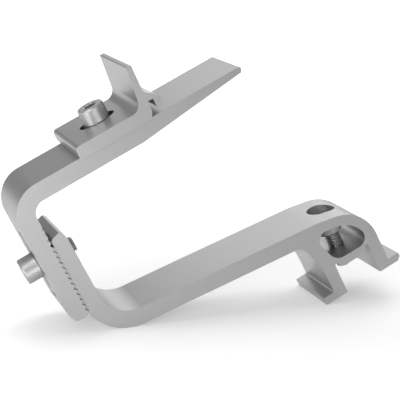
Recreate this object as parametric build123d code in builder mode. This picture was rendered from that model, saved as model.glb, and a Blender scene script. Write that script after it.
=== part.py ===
from build123d import *
from math import cos, radians, sin, sqrt, tan
import os

os.makedirs("parts", exist_ok=True)

# Adjustable bracket that joins a base rail to the rail that crosses it. Millimetres.
# X runs along the arms, Y across the extrusions, Z up. The origin is on the axis of the
# foot's screw, in the plane of the two soles. Every profile is drawn in the XZ plane.

# Widths of the three extrusions, all centred on the same plane
UPPER_WIDTH = 37.5
LOWER_WIDTH = 35.0
CLAMP_WIDTH = 45.0

# From the foot screw's axis to the teeth, and the two thicknesses that meet there
REACH = 129.2
RISER_THICKNESS = 8.7
LEG_THICKNESS = 8.3

# Socket head cap screws, M8 x 20
THREAD_DIAMETER = 8.0
SCREW_LENGTH = 20.0
HEAD_DIAMETER = 13.0
HEAD_HEIGHT = 8.0
HEAD_CHAMFER = 0.5
TIP_CHAMFER = 0.5
HEX_ACROSS_FLATS = 6.0
HEX_DEPTH = 4.0
THREAD_CLEARANCE = 0.05
SLOT_WIDTH = 9.0

# Teeth that lock the riser to the leg: V grooves with flat lands between them
TOOTH_PITCH = 3.0
TOOTH_LAND = 0.8
TOOTH_FLANK_ANGLE = 45.0
TOOTH_CLEARANCE = 0.07
LOWEST_LEG_GROOVE = 61.5
LOWEST_RISER_GROOVE = 66.0
HIGHEST_RISER_GROOVE = 111.0

# Upper hook
ARM_TOP = 131.8
ARM_THICKNESS = 8.75
UPPER_ARM_LENGTH = 126.8
RISER_BOTTOM = 62.8
RISER_TAPER = 1.4
RISER_TAPER_HEIGHT = 5.0
RISER_TAPER_RADIUS = 3.0
RISER_END_RADIUS = 2.8
UPPER_BEND_OUTER_RADIUS = 15.4
UPPER_BEND_INNER_RADIUS = 6.3
TONGUE_LENGTH = 57.6
TONGUE_TIP_THICKNESS = 2.9
TONGUE_TIP_SLANT = 1.0
TONGUE_TIP_RADIUS = 0.8
HEIGHT_SCREW_Z = 91.0
HEIGHT_SLOT_LENGTH = 38.2

# Lower hook: leg, bend and arm
LEG_TOP = 105.4
LEG_TOP_CHAMFER_WIDTH = 2.5
LEG_TOP_CHAMFER_HEIGHT = 4.9
LEG_TOP_FACET_WIDTH = 1.4
LEG_TOP_FACET_DROP = 1.0
LEG_TOP_SLOPE = 1.15
LEG_CORNER_RADIUS = 0.6
LOWER_BEND_OUTER_RADIUS = 24.0
LOWER_BEND_INNER_RADIUS = 17.0
LOWER_ARM_ANGLE = 6.2
LOWER_ARM_THICKNESS = 8.2
LOWER_ARM_TOP_AT_FOOT = 40.216

# Foot: arch, legs and toes
CROWN_X = -10.3
ARCH_RADIUS = 20.2
ARCH_WALL = 5.3
ARCH_SLOPE = 11.0
ARCH_BLEND_RADIUS = 60.0
FOOT_LEG_INNER = 10.05
FOOT_LEG_THICKNESS = 6.4
TOE_LENGTH = 6.35
TOE_THICKNESS = 3.9
TOE_CHAMFER = 1.8
CREASE_RADIUS = 1.0
SOFT_EDGE_RADIUS = 0.3
FLARE_ANGLE = 18.5
FLARE_START_Z = 18.5
FLARE_RADIUS = 44.0
ARM_CORNER_RADIUS = 5.0

# Foot: screw chamber, its threaded floor and the two relief notches
CHAMBER_FLOOR = 18.1
CHAMBER_PAD_BOTTOM = 13.7
CHAMBER_LEFT_X = -8.5
CHAMBER_FLOOR_LEFT_RADIUS = 7.0
CHAMBER_FLOOR_RIGHT_RADIUS = 5.0
CHAMBER_CROWN_RADIUS = 4.8
NOTCH_WIDTH = 1.85
NOTCH_TOP = 16.9
NOTCH_TOP_RADIUS = 0.8
PAD_CORNER_RADIUS = 2.8
FOOT_SCREW_LIFT = 8.25
ACCESS_HOLE_DIAMETER = 14.0

# Rail clamp. Its places along X start at its screw's axis, its heights at the arm's top
CLAMP_SCREW_PLACE = 57.25
PLATE_THICKNESS = 6.4
PLATE_END_X = -18.35
PLATE_TOP_RADIUS = 2.2
PLATE_BOTTOM_RADIUS = 1.15
CLAMP_SLOT_LENGTH = 18.3
FIN_FOOT_X = 17.0
FIN_TOP_X = 19.35
FIN_TOP_THICKNESS = 2.65
FIN_HEIGHT = 27.5
FIN_LEFT_FILLET = 5.0
FIN_RIGHT_FILLET = 2.2
FIN_TOP_RADIUS = 0.6
NOSE_END_X = 27.5
NOSE_ROOT_X = 21.55
NOSE_ROOT_HEIGHT = 13.2
NOSE_SHOULDER_X = 25.35
NOSE_SHOULDER_HEIGHT = 10.6
NOSE_SHOULDER_RADIUS = 3.0
NOSE_END_HEIGHT = 8.1
LIP_THICKNESS = 3.2
LIP_GAP = 3.3
LIP_RADIUS = 1.5
CHANNEL_ROOF_HEIGHT = 8.6
CHANNEL_CORNER_RADIUS = 0.5
BEND_SIDE_X = 21.3
BEND_SIDE_HEIGHT = 3.6
BEND_SIDE_RADIUS = 4.0
BEND_FOOT_X = 19.75


def draw(outline):
    """Draw a closed outline given as (x, z, corner radius): straight sides and tangent arcs."""
    corners = [Vector(x, z) for x, z, _ in outline]
    arcs = []
    for index, (_, _, radius) in enumerate(outline):
        corner = corners[index]
        back = (corners[index - 1] - corner).normalized()
        onward = (corners[(index + 1) % len(corners)] - corner).normalized()
        half_angle = radians(back.get_angle(onward)) / 2
        tangent_length = radius / tan(half_angle)
        nearest = radius / sin(half_angle) - radius
        inward = (back + onward).normalized()
        start = corner + back * tangent_length
        middle = corner + inward * nearest
        end = corner + onward * tangent_length
        arcs.append((start, middle, end))
    for index, (start, middle, end) in enumerate(arcs):
        Line(arcs[index - 1][2], start)
        if outline[index][2] > 0:
            ThreePointArc(start, middle, end)


def arm_top_at(x):
    """Height of the lower arm's top face."""
    return LOWER_ARM_TOP_AT_FOOT - x * tan(radians(LOWER_ARM_ANGLE))


def arm_bottom_at(x):
    """Height of the lower arm's bottom face."""
    return arm_top_at(x) - LOWER_ARM_THICKNESS / cos(radians(LOWER_ARM_ANGLE))


def cap_screw(seat, label):
    """Socket head cap screw whose head stands on the seat plane, with the shank below it."""
    side = Plane(origin=seat.origin, x_dir=seat.x_dir, z_dir=-seat.y_dir)
    head_radius = HEAD_DIAMETER / 2
    shank_radius = THREAD_DIAMETER / 2
    with BuildPart() as screw:
        with BuildSketch(side):
            with BuildLine():
                Polyline(
                    (0, HEAD_HEIGHT),
                    (head_radius - HEAD_CHAMFER, HEAD_HEIGHT),
                    (head_radius, HEAD_HEIGHT - HEAD_CHAMFER),
                    (head_radius, 0),
                    (shank_radius, 0),
                    (shank_radius, TIP_CHAMFER - SCREW_LENGTH),
                    (shank_radius - TIP_CHAMFER, -SCREW_LENGTH),
                    (0, -SCREW_LENGTH),
                    close=True,
                )
            make_face()
        revolve(axis=Axis(seat.origin, seat.z_dir))
        with BuildSketch(seat.offset(HEAD_HEIGHT)):
            RegularPolygon(HEX_ACROSS_FLATS / 2, 6, major_radius=False)
        extrude(amount=-HEX_DEPTH, mode=Mode.SUBTRACT)
    screw.part.label = label
    return screw.part


# Sizes that several pieces share
riser_face_x = -REACH - RISER_THICKNESS
leg_inner_x = LEG_THICKNESS - REACH
clamp_screw_x = riser_face_x + CLAMP_SCREW_PLACE
groove_depth = (TOOTH_PITCH - TOOTH_LAND) / 2 / tan(radians(TOOTH_FLANK_ANGLE))
land_overlap = groove_depth - (TOOTH_LAND / 2 + TOOTH_CLEARANCE) / tan(radians(TOOTH_FLANK_ANGLE))
leg_land_x = -REACH - land_overlap / 2
riser_land_x = -REACH + land_overlap / 2
tapped_radius = THREAD_DIAMETER / 2 + THREAD_CLEARANCE
arm_bottom = ARM_TOP - ARM_THICKNESS
plate_top = ARM_TOP + PLATE_THICKNESS
leg_outer = FOOT_LEG_INNER + FOOT_LEG_THICKNESS
toe_end = leg_outer + TOE_LENGTH
groove_mouth = groove_depth + TOOTH_LAND
groove_half_mouth = groove_mouth * tan(radians(TOOTH_FLANK_ANGLE))

height_screw_seat = Plane(origin=(riser_face_x, 0, HEIGHT_SCREW_Z), x_dir=(0, 1, 0), z_dir=(-1, 0, 0))
clamp_screw_seat = Plane(origin=(clamp_screw_x, 0, plate_top))
foot_screw_seat = Plane(origin=(0, 0, CHAMBER_FLOOR + FOOT_SCREW_LIFT))

# Upper hook: riser, bend, arm and tongue as one extrusion
tongue_tip_x = riser_face_x + UPPER_ARM_LENGTH
tongue_underside = (tongue_tip_x - TONGUE_TIP_SLANT, ARM_TOP - TONGUE_TIP_THICKNESS)
upper_outline = [
    (tongue_tip_x, ARM_TOP, TONGUE_TIP_RADIUS),
    (*tongue_underside, TONGUE_TIP_RADIUS),
    (tongue_tip_x - TONGUE_LENGTH, arm_bottom, 0),
    (riser_land_x, arm_bottom, UPPER_BEND_INNER_RADIUS),
    (riser_land_x, RISER_BOTTOM, RISER_END_RADIUS),
    (riser_face_x + RISER_TAPER, RISER_BOTTOM, RISER_END_RADIUS),
    (riser_face_x, RISER_BOTTOM + RISER_TAPER_HEIGHT, RISER_TAPER_RADIUS),
    (riser_face_x, ARM_TOP, UPPER_BEND_OUTER_RADIUS),
]
riser_grooves = int((HIGHEST_RISER_GROOVE - LOWEST_RISER_GROOVE) / TOOTH_PITCH + 0.5) + 1

with BuildPart() as upper_hook:
    with BuildSketch(Plane.XZ):
        with BuildLine():
            draw(upper_outline)
        make_face()
        for index in range(riser_grooves):
            with Locations((riser_land_x - groove_depth, LOWEST_RISER_GROOVE + index * TOOTH_PITCH)):
                Polygon(
                    (0, 0),
                    (groove_mouth, groove_half_mouth),
                    (groove_mouth, -groove_half_mouth),
                    align=None,
                    mode=Mode.SUBTRACT,
                )
    extrude(amount=UPPER_WIDTH / 2, both=True)
    # Slot for the height screw, lengthwise in the riser
    with BuildSketch(height_screw_seat):
        SlotOverall(HEIGHT_SLOT_LENGTH, SLOT_WIDTH, rotation=90)
    extrude(amount=riser_face_x - leg_inner_x, mode=Mode.SUBTRACT)
    # Threaded hole for the clamp screw
    with BuildSketch(Plane.XY.offset(ARM_TOP)):
        with Locations((clamp_screw_x, 0)):
            Circle(tapped_radius)
    extrude(amount=-2 * ARM_THICKNESS, mode=Mode.SUBTRACT)

upper_hook.part.label = "upper_hook"

# Lower hook: toothed leg, bend, arm and arched foot as one extrusion
leg_chamfer_x = leg_inner_x - LEG_TOP_CHAMFER_WIDTH
leg_groove_x = leg_land_x + groove_depth
leg_shoulder_x = leg_groove_x + LEG_TOP_SLOPE
leg_shoulder_z = LEG_TOP - LEG_TOP_SLOPE
leg_grooves = int((leg_shoulder_z - LOWEST_LEG_GROOVE) / TOOTH_PITCH) - 1
top_leg_groove = LOWEST_LEG_GROOVE + leg_grooves * TOOTH_PITCH
flare_shift = tan(radians(FLARE_ANGLE))
arm_slope = tan(radians(LOWER_ARM_ANGLE))
arch_slope = tan(radians(ARCH_SLOPE))
arch_corner_z = arm_top_at(CROWN_X) - (leg_outer - CROWN_X) * arch_slope
flare_drop = arm_bottom_at(-leg_outer) - FLARE_START_Z
flare_top_x = -leg_outer - flare_drop * flare_shift / (1 - arm_slope * flare_shift)
pad_half_width = FOOT_LEG_INNER - NOTCH_WIDTH

lower_outline = [
    (FOOT_LEG_INNER, 0, 0),
    (toe_end - TOE_CHAMFER, 0, 0),
    (toe_end, TOE_CHAMFER, 0),
    (toe_end, TOE_THICKNESS, SOFT_EDGE_RADIUS),
    (leg_outer, TOE_THICKNESS, CREASE_RADIUS),
    (leg_outer, arch_corner_z, ARCH_RADIUS),
    (CROWN_X, arm_top_at(CROWN_X), ARCH_BLEND_RADIUS),
    (leg_inner_x, arm_top_at(leg_inner_x), LOWER_BEND_INNER_RADIUS),
    (leg_inner_x, LEG_TOP - LEG_TOP_CHAMFER_HEIGHT, LEG_CORNER_RADIUS),
    (leg_chamfer_x + LEG_TOP_FACET_WIDTH, LEG_TOP - LEG_TOP_FACET_DROP, 0),
    (leg_chamfer_x, LEG_TOP, LEG_CORNER_RADIUS),
    (leg_shoulder_x, leg_shoulder_z, LEG_CORNER_RADIUS),
    (leg_groove_x, leg_shoulder_z - LEG_TOP_SLOPE, 0),
    (leg_groove_x, top_leg_groove, 0),
    (leg_land_x, top_leg_groove - groove_depth, 0),
    (leg_land_x, arm_bottom_at(leg_land_x), LOWER_BEND_OUTER_RADIUS),
    (flare_top_x, arm_bottom_at(flare_top_x), ARM_CORNER_RADIUS),
    (-leg_outer, FLARE_START_Z, FLARE_RADIUS),
    (-leg_outer, TOE_THICKNESS, CREASE_RADIUS),
    (-toe_end, TOE_THICKNESS, SOFT_EDGE_RADIUS),
    (-toe_end, 0, SOFT_EDGE_RADIUS),
    (-FOOT_LEG_INNER, 0, 0),
    (-FOOT_LEG_INNER, NOTCH_TOP, NOTCH_TOP_RADIUS),
    (-pad_half_width, NOTCH_TOP, SOFT_EDGE_RADIUS),
    (-pad_half_width, CHAMBER_PAD_BOTTOM, PAD_CORNER_RADIUS),
    (pad_half_width, CHAMBER_PAD_BOTTOM, PAD_CORNER_RADIUS),
    (pad_half_width, NOTCH_TOP, SOFT_EDGE_RADIUS),
    (FOOT_LEG_INNER, NOTCH_TOP, NOTCH_TOP_RADIUS),
]

# Chamber for the foot screw: its ceiling and right wall follow the arch at one wall thickness
touch_angle = radians(90 - ARCH_SLOPE)
arch_centre = Vector(leg_outer - ARCH_RADIUS, arch_corner_z - ARCH_RADIUS * tan(touch_angle / 2))
chamber_radius = ARCH_RADIUS - ARCH_WALL
ceiling_touch = arch_centre + Vector(cos(touch_angle), sin(touch_angle)) * chamber_radius
ceiling_middle = arch_centre + Vector(cos(touch_angle / 2), sin(touch_angle / 2)) * chamber_radius
floor_right_x = arch_centre.X + sqrt(chamber_radius**2 - (arch_centre.Y - CHAMBER_FLOOR) ** 2)
ceiling_at_left = ceiling_touch.Y + (ceiling_touch.X - CHAMBER_LEFT_X) * arch_slope
chamber_rise = (ceiling_at_left - CHAMBER_FLOOR) / (1 - arch_slope * flare_shift)
chamber_crown = (CHAMBER_LEFT_X - chamber_rise * flare_shift, CHAMBER_FLOOR + chamber_rise)
chamber_floor = [(floor_right_x, CHAMBER_FLOOR), (CHAMBER_LEFT_X, CHAMBER_FLOOR)]

with BuildPart() as lower_hook:
    with BuildSketch(Plane.XZ):
        with BuildLine():
            draw(lower_outline)
        make_face()
        for index in range(leg_grooves):
            with Locations((leg_groove_x, LOWEST_LEG_GROOVE + index * TOOTH_PITCH)):
                Polygon(
                    (0, 0),
                    (-groove_mouth, groove_half_mouth),
                    (-groove_mouth, -groove_half_mouth),
                    align=None,
                    mode=Mode.SUBTRACT,
                )
    extrude(amount=LOWER_WIDTH / 2, both=True)
    with BuildSketch(Plane.XZ) as chamber:
        with BuildLine():
            Polyline(*chamber_floor, chamber_crown, ceiling_touch)
            ThreePointArc(ceiling_touch, ceiling_middle, chamber_floor[0])
        make_face()
        fillet(chamber.vertices().sort_by_distance(chamber_floor[0])[0], CHAMBER_FLOOR_RIGHT_RADIUS)
        fillet(chamber.vertices().sort_by_distance(chamber_floor[1])[0], CHAMBER_FLOOR_LEFT_RADIUS)
        fillet(chamber.vertices().sort_by_distance(chamber_crown)[0], CHAMBER_CROWN_RADIUS)
    extrude(amount=LOWER_WIDTH / 2, both=True, mode=Mode.SUBTRACT)
    # Threaded hole in the chamber's floor, and the way in through the arch above it
    with BuildSketch(foot_screw_seat):
        Circle(tapped_radius)
    extrude(amount=-SCREW_LENGTH, mode=Mode.SUBTRACT)
    with BuildSketch(foot_screw_seat):
        Circle(ACCESS_HOLE_DIAMETER / 2)
    extrude(amount=ARCH_RADIUS, mode=Mode.SUBTRACT)
    # Threaded hole for the height screw
    with BuildSketch(height_screw_seat):
        Circle(tapped_radius)
    extrude(amount=-SCREW_LENGTH, mode=Mode.SUBTRACT)

lower_hook.part.label = "lower_hook"

# Rail clamp: slotted plate, fin, and a nose whose lip hangs over the tongue
clamp_outline = [
    (PLATE_END_X, 0, PLATE_BOTTOM_RADIUS),
    (PLATE_END_X, PLATE_THICKNESS, PLATE_TOP_RADIUS),
    (FIN_FOOT_X, PLATE_THICKNESS, FIN_LEFT_FILLET),
    (FIN_TOP_X, FIN_HEIGHT, FIN_TOP_RADIUS),
    (FIN_TOP_X + FIN_TOP_THICKNESS, FIN_HEIGHT, FIN_TOP_RADIUS),
    (NOSE_ROOT_X, NOSE_ROOT_HEIGHT, FIN_RIGHT_FILLET),
    (NOSE_SHOULDER_X, NOSE_SHOULDER_HEIGHT, NOSE_SHOULDER_RADIUS),
    (NOSE_END_X, NOSE_END_HEIGHT, SOFT_EDGE_RADIUS),
    (NOSE_END_X, LIP_GAP, LIP_RADIUS),
    (NOSE_END_X - LIP_THICKNESS, LIP_GAP, LIP_RADIUS),
    (NOSE_END_X - LIP_THICKNESS, CHANNEL_ROOF_HEIGHT, CHANNEL_CORNER_RADIUS),
    (NOSE_ROOT_X, CHANNEL_ROOF_HEIGHT, CHANNEL_CORNER_RADIUS),
    (BEND_SIDE_X, BEND_SIDE_HEIGHT, BEND_SIDE_RADIUS),
    (BEND_FOOT_X, 0, SOFT_EDGE_RADIUS),
]

with BuildPart() as rail_clamp:
    with BuildSketch(Plane(origin=(clamp_screw_x, 0, ARM_TOP), x_dir=(1, 0, 0), z_dir=(0, -1, 0))):
        with BuildLine():
            draw(clamp_outline)
        make_face()
    extrude(amount=CLAMP_WIDTH / 2, both=True)
    with BuildSketch(clamp_screw_seat):
        SlotOverall(CLAMP_SLOT_LENGTH, SLOT_WIDTH)
    extrude(amount=-PLATE_THICKNESS, mode=Mode.SUBTRACT)

rail_clamp.part.label = "rail_clamp"

export_step(upper_hook.part, "parts/upper_hook.step")
export_step(lower_hook.part, "parts/lower_hook.step")
export_step(rail_clamp.part, "parts/rail_clamp.step")
export_step(cap_screw(height_screw_seat, "height_screw"), "parts/height_screw.step")
export_step(cap_screw(clamp_screw_seat, "clamp_screw"), "parts/clamp_screw.step")
export_step(cap_screw(foot_screw_seat, "foot_screw"), "parts/foot_screw.step")
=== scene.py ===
# %% [markdown]
# An adjustable bracket that joins two aluminium rails that cross.
# Three aluminium extrusions are held together by three socket head cap screws.
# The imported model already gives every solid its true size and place, so this lesson adds
# what a solid model lacks: the finish of extruded and sawn aluminium, rolled threads and
# knurled screw heads, and a photographer's floor, light and camera.

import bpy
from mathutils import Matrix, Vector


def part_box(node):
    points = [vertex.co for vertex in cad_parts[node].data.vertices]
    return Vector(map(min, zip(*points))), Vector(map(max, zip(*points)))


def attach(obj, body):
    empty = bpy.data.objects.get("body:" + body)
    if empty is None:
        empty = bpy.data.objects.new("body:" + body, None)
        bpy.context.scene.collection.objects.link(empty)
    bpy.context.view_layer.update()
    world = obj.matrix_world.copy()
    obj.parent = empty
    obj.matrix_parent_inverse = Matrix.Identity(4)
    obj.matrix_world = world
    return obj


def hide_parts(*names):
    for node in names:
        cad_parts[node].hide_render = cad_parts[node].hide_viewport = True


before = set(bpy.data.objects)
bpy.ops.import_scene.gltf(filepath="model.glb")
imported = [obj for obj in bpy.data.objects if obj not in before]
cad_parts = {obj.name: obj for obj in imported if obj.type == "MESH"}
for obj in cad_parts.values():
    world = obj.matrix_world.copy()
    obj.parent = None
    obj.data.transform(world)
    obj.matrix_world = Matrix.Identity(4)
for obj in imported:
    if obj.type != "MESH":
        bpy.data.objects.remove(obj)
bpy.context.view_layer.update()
print("pieces in the model:", sorted(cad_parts))

# %% [markdown]
# Blender measures in metres and shades in linear light, while a bracket is drawn in
# millimetres and its colours are picked as sRGB. MM turns the one into the other, and srgb
# does it for the colours. The third tool adds a shader node with its settings and its links
# in one call, so that each material below reads as a list of what it is made of.

# %% Tools
from math import cos, pi, radians, sin, tau

import bpy
from mathutils import Matrix, Vector

MM = 0.001


def srgb(code):
    """Linear RGBA of an sRGB hex colour such as #c0c0c0."""
    channels = [int(code[i:i + 2], 16) / 255 for i in (1, 3, 5)]
    linear = [c / 12.92 if c <= 0.04045 else ((c + 0.055) / 1.055) ** 2.4 for c in channels]
    return (*linear, 1.0)


def add_node(tree, kind, settings=None, **inputs):
    """Add a node with its settings. An input is a plain value, or a socket to link from.

    An input is given by its name, or by its number where names repeat: _0 is the first one.
    """
    node = tree.nodes.new(kind)
    for name, value in (settings or {}).items():
        setattr(node, name, value)
    for name, value in inputs.items():
        key = int(name[1:]) if name[0] == "_" else name.replace("_", " ")
        if isinstance(value, bpy.types.NodeSocket):
            tree.links.new(value, node.inputs[key])
        else:
            node.inputs[key].default_value = value
    return node


print("the sRGB grey #808080 is", round(srgb("#808080")[0], 3), "in linear light")

# %% [markdown]
# The camera stands where the photographer stood: low over the left front corner, close
# enough that the lines of the extrusions converge. Its place and turn come from matching
# the straight edges of the three extrusions, which run along three square directions.

# %% Camera
CAMERA_PLACE = Vector((-173.25, -598.08, 309.30)) * MM
CAMERA_RIGHT = Vector((0.845797, -0.331762, -0.418058))
CAMERA_UP = Vector((0.501210, 0.224345, 0.835746))
CAMERA_BACK = Vector((-0.183525, -0.916253, 0.355953))
SENSOR_WIDTH = 36.0
FOCAL_LENGTH = 119.66
NEAR_CLIP = 50 * MM
FAR_CLIP = 20_000 * MM

camera_data = bpy.data.cameras.new("camera")
camera_data.sensor_width = SENSOR_WIDTH
camera_data.lens = FOCAL_LENGTH
camera_data.clip_start = NEAR_CLIP
camera_data.clip_end = FAR_CLIP
camera = bpy.data.objects.new("camera", camera_data)
bpy.context.collection.objects.link(camera)
turn = Matrix((CAMERA_RIGHT, CAMERA_UP, CAMERA_BACK)).transposed()
camera.matrix_world = Matrix.Translation(CAMERA_PLACE) @ turn.to_4x4()
bpy.context.scene.camera = camera
print("camera looks along", [round(-v, 3) for v in CAMERA_BACK])

# %% [markdown]
# The extrusions are aluminium alloy with a natural satin finish. Pressing the billet through
# the die leaves very fine lines along the length of the bar, and the bars are then sawn into
# short pieces, so the two ends of each piece carry the even, matt pattern of the saw instead.
# One material does both: it reads which way a surface faces, because the sawn ends are the
# only faces that look along the bar. Real die lines and saw marks lie a tenth of a millimetre
# apart or less, finer than the picture can show. Both are drawn coarser, and only as a slight
# change of tint and gloss and a very low relief, which gives the eye a soft silvery sheen
# that runs along the bar. Light deburring rounds every edge a little. The Bevel node bends
# the light there without cutting the mesh, so the eye sees thin soft rims and no knife edges.

# %% Satin aluminium
ALUMINIUM_LIGHT = "#c0c0c0"
ALUMINIUM_DARK = "#b8b8b8"
PRESSED_ROUGHNESS = 0.42
SAWN_ROUGHNESS = 0.56
ROUGHNESS_SPREAD = 0.04
DIE_LINE_SPACING = 0.45
DIE_LINE_LENGTH = 60.0
DIE_LINE_DETAIL = 3.0
SAW_GRAIN = 0.35
SAW_GRAIN_DETAIL = 2.0
SAWN_FACING = 0.9
RELIEF = 0.004
RELIEF_STRENGTH = 0.3
EDGE_RADIUS = 0.15
EDGE_SAMPLES = 8


def satin_aluminium():
    """Extruded aluminium with die lines along Y and sawn ends that face along Y."""
    material = bpy.data.materials.new("satin_aluminium")
    material.use_nodes = True
    tree = material.node_tree
    shader = tree.nodes["Principled BSDF"]
    shader.inputs["Metallic"].default_value = 1.0

    # Noise stretched along the bar gives the die lines, and even noise the saw's grain
    place = add_node(tree, "ShaderNodeTexCoord")
    across = 1 / (DIE_LINE_SPACING * MM)
    along = 1 / (DIE_LINE_LENGTH * MM)
    stretched = add_node(tree, "ShaderNodeVectorMath", {"operation": "MULTIPLY"},
                         _0=place.outputs["Object"], _1=(across, along, across))
    lines = add_node(tree, "ShaderNodeTexNoise", Vector=stretched.outputs[0], Scale=1.0,
                     Detail=DIE_LINE_DETAIL)
    grain = add_node(tree, "ShaderNodeTexNoise", Vector=place.outputs["Object"],
                     Scale=1 / (SAW_GRAIN * MM), Detail=SAW_GRAIN_DETAIL)

    # A face is sawn where it looks almost straight along Y
    facing = add_node(tree, "ShaderNodeSeparateXYZ", Vector=place.outputs["Normal"])
    sideways = add_node(tree, "ShaderNodeMath", {"operation": "ABSOLUTE"}, _0=facing.outputs["Y"])
    sawn = add_node(tree, "ShaderNodeMath", {"operation": "GREATER_THAN"},
                    _0=sideways.outputs[0], _1=SAWN_FACING)
    pattern = add_node(tree, "ShaderNodeMix", Factor=sawn.outputs[0],
                       A=lines.outputs[0], B=grain.outputs[0])

    # The colours of a Mix node are its inputs 6 and 7, and they come out at output 2
    tint = add_node(tree, "ShaderNodeMix", {"data_type": "RGBA"}, Factor=pattern.outputs[0],
                    _6=srgb(ALUMINIUM_DARK), _7=srgb(ALUMINIUM_LIGHT))
    tree.links.new(tint.outputs[2], shader.inputs["Base Color"])

    finish = add_node(tree, "ShaderNodeMapRange", Value=sawn.outputs[0],
                      To_Min=PRESSED_ROUGHNESS, To_Max=SAWN_ROUGHNESS)
    spread = add_node(tree, "ShaderNodeMapRange", Value=pattern.outputs[0],
                      To_Min=-ROUGHNESS_SPREAD, To_Max=ROUGHNESS_SPREAD)
    gloss = add_node(tree, "ShaderNodeMath", {"operation": "ADD"},
                     _0=finish.outputs[0], _1=spread.outputs[0])
    tree.links.new(gloss.outputs[0], shader.inputs["Roughness"])

    edges = add_node(tree, "ShaderNodeBevel", {"samples": EDGE_SAMPLES}, Radius=EDGE_RADIUS * MM)
    relief = add_node(tree, "ShaderNodeBump", Height=pattern.outputs[0], Strength=RELIEF_STRENGTH,
                      Distance=RELIEF * MM, Normal=edges.outputs[0])
    tree.links.new(relief.outputs[0], shader.inputs["Normal"])
    return material


aluminium = satin_aluminium()
print(aluminium.name, "has", len(aluminium.node_tree.nodes), "nodes")

# %% [markdown]
# The three extrusions keep their shape from the model. Their faces are flat or plainly
# curved as pressed, so nothing is added to them but the material.

# %% Extrusions in aluminium
for name in ("upper_hook", "lower_hook", "rail_clamp"):
    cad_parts[name].data.materials.clear()
    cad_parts[name].data.materials.append(aluminium)
    low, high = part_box(name)
    print(name, "measures", [round((h - l) / MM, 1) for l, h in zip(low, high)], "mm")

# %% [markdown]
# The screws are stainless steel. Their heads are cold formed and their threads are rolled
# between hardened dies, which press the surface smooth but not polished. The gloss is even,
# with soft spots a few millimetres wide where the metal flowed, so the eye sees broad bands
# of light along each head and no sharp mirror image.

# %% Stainless steel
STEEL_COLOUR = "#c0c0c0"
STEEL_ROUGHNESS = 0.41
STEEL_SPREAD = 0.03
STEEL_SPOT_SIZE = 3.0
STEEL_SPOT_DETAIL = 2.0


def stainless_steel():
    """Cold formed and rolled stainless steel, bright but slightly uneven."""
    material = bpy.data.materials.new("stainless_steel")
    material.use_nodes = True
    tree = material.node_tree
    shader = tree.nodes["Principled BSDF"]
    shader.inputs["Metallic"].default_value = 1.0
    shader.inputs["Base Color"].default_value = srgb(STEEL_COLOUR)
    place = add_node(tree, "ShaderNodeTexCoord")
    spots = add_node(tree, "ShaderNodeTexNoise", Vector=place.outputs["Object"],
                     Scale=1 / (STEEL_SPOT_SIZE * MM), Detail=STEEL_SPOT_DETAIL)
    gloss = add_node(tree, "ShaderNodeMapRange", Value=spots.outputs[0],
                     To_Min=STEEL_ROUGHNESS - STEEL_SPREAD, To_Max=STEEL_ROUGHNESS + STEEL_SPREAD)
    tree.links.new(gloss.outputs[0], shader.inputs["Roughness"])
    return material


steel = stainless_steel()
print(steel.name, "has", len(steel.node_tree.nodes), "nodes")

# %% [markdown]
# A screw is round, so its surface can be a stack of rings. Each ring is a height and a radius
# that changes with the angle: a hexagon in the socket, a zigzag on the knurled rim, and a
# plain circle elsewhere. On a real head the knurl lets fingers start the screw. Its teeth lie
# about 0.8 mm apart, and they are drawn a little deeper than life so that they show. The rim
# above the knurl rounds over in two steps. The head stands a hair off its seat, so that it
# never shares a plane with the face below it.

# %% The head of a cap screw
HEAD_RADIUS = 6.5
HEAD_HEIGHT = 8.0
HEAD_EDGE = 0.5
EDGE_SHARE_IN = 0.62
EDGE_SHARE_DOWN = 0.22
HEAD_FACE_RIM = 0.35
HEAD_FOOT_EDGE = 0.35
HEAD_FOOT_HEIGHT = 0.25
SEAT_GAP = 0.02
HEX_ACROSS_FLATS = 6.0
HEX_DEPTH = 4.0
HEX_MOUTH_EDGE = 0.6
DRILL_RING_SHARE = 0.55
DRILL_RING_DEPTH = 0.55
DRILL_POINT_DEPTH = 1.2
KNURL_TEETH = 54
KNURL_DEPTH = 0.12
KNURL_START = 0.45
KNURL_RUNOUT = 0.25
HEAD_COLUMNS = 4 * KNURL_TEETH


def circle(radius):
    """Radius of a plain ring, the same at every angle."""
    return lambda angle: radius


def hexagon(angle):
    """Distance from the axis to the side of the socket, at an angle."""
    return HEX_ACROSS_FLATS / 2 / cos((angle % (pi / 3)) - pi / 6)


def knurl(angle):
    """Zigzag rim of the head."""
    tooth = (angle * KNURL_TEETH / tau) % 1
    return HEAD_RADIUS - KNURL_DEPTH * abs(2 * tooth - 1)


def head_rings():
    """Rings of the head from the socket's drilled floor out over the rim to the underside."""
    socket_floor = HEAD_HEIGHT - HEX_DEPTH
    knurl_end = HEAD_HEIGHT - HEAD_EDGE
    return [
        (lambda angle: hexagon(angle) * DRILL_RING_SHARE, socket_floor - DRILL_RING_DEPTH),
        (hexagon, socket_floor),
        (hexagon, HEAD_HEIGHT - HEX_MOUTH_EDGE),
        (circle(HEX_ACROSS_FLATS / 2 + HEX_MOUTH_EDGE), HEAD_HEIGHT),
        (circle(HEAD_RADIUS - HEAD_EDGE - HEAD_FACE_RIM), HEAD_HEIGHT),
        (circle(HEAD_RADIUS - HEAD_EDGE * EDGE_SHARE_IN), HEAD_HEIGHT - HEAD_EDGE * EDGE_SHARE_DOWN),
        (circle(HEAD_RADIUS - KNURL_DEPTH), knurl_end),
        (knurl, knurl_end - KNURL_RUNOUT),
        (knurl, KNURL_START),
        (circle(HEAD_RADIUS - KNURL_DEPTH), HEAD_FOOT_HEIGHT),
        (circle(HEAD_RADIUS - HEAD_FOOT_EDGE), SEAT_GAP),
    ]


print("the head has", len(head_rings()), "rings of", HEAD_COLUMNS, "points")

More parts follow.
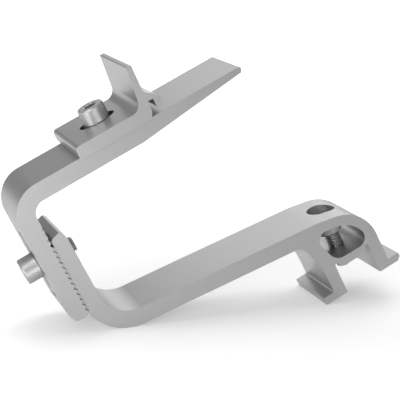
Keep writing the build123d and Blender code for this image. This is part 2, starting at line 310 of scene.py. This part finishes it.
# %% [markdown]
# The thread is one groove that winds down the shank, so at any height and angle its depth
# follows from how far round the turn the point lies. The crests are narrow flats and the
# grooves a little wider, as rolling leaves them. The groove fades out under the head, and the
# tip is cut to a short cone, so that the screw finds its hole.

# %% The thread
SHANK_RADIUS = 4.0
SCREW_LENGTH = 20.0
TIP_EDGE = 0.5
THREAD_PITCH = 1.25
THREAD_DEPTH = 0.68
CREST_SHARE = 0.14
FLANK_SHARE = 0.68
RUNOUT_END = 1.2
RUNOUT_LENGTH = 1.0
RINGS_PER_PITCH = 12
THREAD_RINGS = round(SCREW_LENGTH / THREAD_PITCH * RINGS_PER_PITCH)


def thread(angle, height):
    """Radius of the threaded shank, at an angle and a height, which is negative below the seat."""
    phase = (height / THREAD_PITCH - angle / tau) % 1
    from_crest = abs(phase - 0.5) * 2
    depth = THREAD_DEPTH * min(max((from_crest - CREST_SHARE) / FLANK_SHARE, 0.0), 1.0)
    plain = min(max((height + RUNOUT_END) / RUNOUT_LENGTH, 0.0), 1.0)
    tip = SHANK_RADIUS - TIP_EDGE + (height + SCREW_LENGTH)
    return min(SHANK_RADIUS - depth * (1 - plain), tip)


print("the thread has", SCREW_LENGTH / THREAD_PITCH, "turns on", THREAD_RINGS, "rings")

# %% [markdown]
# One closed mesh carries the whole screw. Neighbouring rings are joined by bands of
# four-sided faces. The shank needs fewer columns than the knurl, so under the head each
# face spans three steps of the wide ring and one step of the narrow one.

# %% A cap screw from its rings
STEPS_UNDER_HEAD = 3
SHANK_COLUMNS = HEAD_COLUMNS // STEPS_UNDER_HEAD


def cap_screw(name, seat, axis):
    """A cap screw whose head stands on the seat. The axis points out of the head."""
    verts, faces = [], []

    def ring(columns, radius_at, height):
        """Add a ring of points, and give the number of the first."""
        start = len(verts)
        for column in range(columns):
            angle = tau * column / columns
            radius = radius_at(angle)
            verts.append((radius * cos(angle), radius * sin(angle), height))
        return start

    def band(upper, lower, columns):
        """Join two rings of as many points."""
        for column in range(columns):
            after = (column + 1) % columns
            faces.append((upper + column, lower + column, lower + after, upper + after))

    starts = [ring(HEAD_COLUMNS, radius_at, height) for radius_at, height in head_rings()]
    for upper, lower in zip(starts, starts[1:]):
        band(upper, lower, HEAD_COLUMNS)
    verts.append((0, 0, HEAD_HEIGHT - HEX_DEPTH - DRILL_POINT_DEPTH))
    point = len(verts) - 1
    for column in range(HEAD_COLUMNS):
        faces.append((point, starts[0] + column, starts[0] + (column + 1) % HEAD_COLUMNS))

    neck = ring(SHANK_COLUMNS, circle(SHANK_RADIUS), SEAT_GAP)
    for column in range(SHANK_COLUMNS):
        steps = range(STEPS_UNDER_HEAD * column, STEPS_UNDER_HEAD * (column + 1) + 1)
        rim = [starts[-1] + step % HEAD_COLUMNS for step in steps]
        faces.append((*rim[::-1], neck + column, neck + (column + 1) % SHANK_COLUMNS))

    last = neck
    for index in range(1, THREAD_RINGS + 1):
        height = -SCREW_LENGTH * index / THREAD_RINGS
        current = ring(SHANK_COLUMNS, lambda angle: thread(angle, height), height)
        band(last, current, SHANK_COLUMNS)
        last = current
    faces.append(tuple(last + column for column in range(SHANK_COLUMNS))[::-1])

    mesh = bpy.data.meshes.new(name)
    upright = Vector(axis).to_track_quat("Z", "Y").to_matrix()
    mesh.from_pydata([upright @ Vector(v) * MM + Vector(seat) for v in verts], [], faces)
    mesh.validate()
    mesh.materials.append(steel)
    screw = bpy.data.objects.new(name, mesh)
    bpy.context.collection.objects.link(screw)
    return screw


print("the shank has", SHANK_COLUMNS, "points to a ring, and the head", HEAD_COLUMNS)

# %% [markdown]
# Each screw takes the place of its plain solid, on the same seat, and rides on that solid's
# body, so it turns or slides with it. Its faces stay flat shaded, which keeps the knurl, the
# socket and the thread crisp: every facet there is a real one.

# %% Three cap screws
SCREWS = {
    "height_screw": ("knurled_height_screw", (-1, 0, 0)),
    "clamp_screw": ("knurled_clamp_screw", (0, 0, 1)),
    "foot_screw": ("knurled_foot_screw", (0, 0, 1)),
}

for node, (name, axis) in SCREWS.items():
    low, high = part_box(node)
    middle = (low + high) / 2
    outward = Vector(axis)
    top = middle + outward * (SCREW_LENGTH + HEAD_HEIGHT) / 2 * MM
    screw = cap_screw(name, top - outward * HEAD_HEIGHT * MM, axis)
    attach(screw, node)
    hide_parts(node)
    print(name, "has", len(screw.data.polygons), "faces")

# %% [markdown]
# The floor is white paper. The bracket lies on it on the bend of its lower arm and on the
# edge of one toe, so the paper is tilted in the bracket's own frame. It is lit like any other
# paper and so keeps the soft shadow. A little light of its own, which only the camera and
# the metal's reflections see, brings it up to the white of the picture. This glow is painted
# light. The camera sees it grow outwards from the bracket, so the paper close to the bracket
# is painted darker around the real shadow. The metal sees it grow from the front of the studio
# to the back, so the faces that mirror the paper in front get a painted darker reflection.
# From behind the sheet is clear, so the bracket can be looked at from below.

# %% Paper floor
FLOOR_PLACE = Vector((-22.85, 0, 0)) * MM
FLOOR_TILT = 26.3
FLOOR_SIZE = 6000 * MM
PAPER_COLOUR = "#f4f4f4"
SEEN_GLOW_NEAR = 0.27
SEEN_GLOW_FAR = 0.8
SEEN_GLOW_CENTRE = Vector((-30, 0, 0)) * MM
SEEN_GLOW_START = 70 * MM
SEEN_GLOW_END = 250 * MM
MIRRORED_GLOW_FRONT = 0.05
MIRRORED_GLOW_BACK = 0.5
MIRRORED_GLOW_START = -500 * MM
MIRRORED_GLOW_END = 800 * MM


def white_paper():
    """Lit paper that glows a little for the camera and for reflections, clear from behind."""
    material = bpy.data.materials.new("white_paper")
    material.use_nodes = True
    tree = material.node_tree
    tree.nodes.clear()

    place = add_node(tree, "ShaderNodeTexCoord")
    # Painted shade: the glow the camera sees is weaker near the bracket, so the paper there stays
    # darker around the real shadow
    away = add_node(tree, "ShaderNodeVectorMath", {"operation": "DISTANCE"},
                    _0=place.outputs["Object"], _1=SEEN_GLOW_CENTRE)
    outwards = add_node(tree, "ShaderNodeMapRange", {"interpolation_type": "SMOOTHSTEP"},
                        Value=away.outputs["Value"],
                        From_Min=SEEN_GLOW_START, From_Max=SEEN_GLOW_END,
                        To_Min=SEEN_GLOW_NEAR, To_Max=SEEN_GLOW_FAR)
    # Painted reflection: the glow the metal sees is weaker in front, so the front faces mirror
    # darker paper
    depth = add_node(tree, "ShaderNodeSeparateXYZ", Vector=place.outputs["Object"])
    backwards = add_node(tree, "ShaderNodeMapRange", {"interpolation_type": "SMOOTHSTEP"},
                         Value=depth.outputs["Y"],
                         From_Min=MIRRORED_GLOW_START, From_Max=MIRRORED_GLOW_END,
                         To_Min=MIRRORED_GLOW_FRONT, To_Max=MIRRORED_GLOW_BACK)

    # Which ray looks at the paper decides how much of the glow it sees
    ray = add_node(tree, "ShaderNodeLightPath")
    mirrored = add_node(tree, "ShaderNodeMath", {"operation": "MAXIMUM"},
                        _0=ray.outputs["Is Glossy Ray"], _1=ray.outputs["Is Transmission Ray"])
    in_metal = add_node(tree, "ShaderNodeMath", {"operation": "MULTIPLY"},
                        _0=mirrored.outputs[0], _1=backwards.outputs["Result"])
    strength = add_node(tree, "ShaderNodeMath", {"operation": "MULTIPLY_ADD"},
                        _0=ray.outputs["Is Camera Ray"], _1=outwards.outputs["Result"],
                        _2=in_metal.outputs[0])

    diffuse = add_node(tree, "ShaderNodeBsdfDiffuse", Color=srgb(PAPER_COLOUR))
    glow = add_node(tree, "ShaderNodeEmission", Strength=strength.outputs[0])
    paper = add_node(tree, "ShaderNodeAddShader", _0=diffuse.outputs[0], _1=glow.outputs[0])
    clear = add_node(tree, "ShaderNodeBsdfTransparent")
    side = add_node(tree, "ShaderNodeNewGeometry")
    sheet = add_node(tree, "ShaderNodeMixShader", _0=side.outputs["Backfacing"],
                     _1=paper.outputs[0], _2=clear.outputs[0])
    add_node(tree, "ShaderNodeOutputMaterial", Surface=sheet.outputs[0])
    return material


tilt = radians(FLOOR_TILT)
bpy.ops.mesh.primitive_plane_add(size=FLOOR_SIZE, location=FLOOR_PLACE, rotation=(0, tilt, 0))
floor = bpy.context.object
floor.name = "paper_floor"
floor.data.materials.append(white_paper())
floor_up = Vector((sin(tilt), 0, cos(tilt)))
print("up from the paper is", [round(value, 3) for value in floor_up])

# %% [markdown]
# Satin metal shows what stands around it, smeared out. The walls of the studio are a plain
# grey, so the tops of the arms turn darker than the paper. One soft lamp behind on the right
# runs up the arch and down into the lower bend, and a smaller one above it brightens the arms.
# Two in front on the left light the sawn faces, the screw heads and the paper, more on the
# left than on the right, and one overhead, a little to the back, draws the shadow together
# under the bracket and just in front of it.

# %% Studio walls and lamps
WALL_COLOUR = "#a4a4a4"
LAMP_AIM = Vector((-60, 0, 70)) * MM


def softbox(name, direction, distance, width, brightness):
    """A square area lamp, sizes in metres, facing the bracket. Brightness 1 is white paper."""
    light = bpy.data.lights.new(name, "AREA")
    light.shape = "SQUARE"
    light.size = width
    # A lamp that sends out pi watts from each square metre looks as bright as white paper
    light.energy = brightness * pi * width ** 2
    lamp = bpy.data.objects.new(name, light)
    away = Vector(direction).normalized()
    lamp.location = LAMP_AIM + away * distance
    lamp.rotation_euler = away.to_track_quat("Z", "Y").to_euler()
    lamp.visible_camera = False
    bpy.context.collection.objects.link(lamp)
    print(name, "stands", distance, "m away")


world = bpy.data.worlds.new("studio_walls")
world.use_nodes = True
walls = world.node_tree.nodes["Background"]
walls.inputs["Color"].default_value = srgb(WALL_COLOUR)
bpy.context.scene.world = world

softbox("lamp_behind_right", (0.49, 0.83, 0.26), distance=1.0, width=0.74, brightness=0.78)
softbox("lamp_high_right", (0.75, 0.45, 0.49), distance=0.75, width=0.4, brightness=1.8)
softbox("lamp_front_left", (-0.50, -0.75, 0.30), distance=0.42, width=0.28, brightness=4.6)
softbox("lamp_front_low", (-0.45, -0.85, 0.25), distance=0.35, width=0.2, brightness=0.9)
softbox("lamp_overhead", (0.42, 0.12, 0.89), distance=1.0, width=0.7, brightness=1.45)
bpy.context.scene.view_settings.view_transform = "Standard"
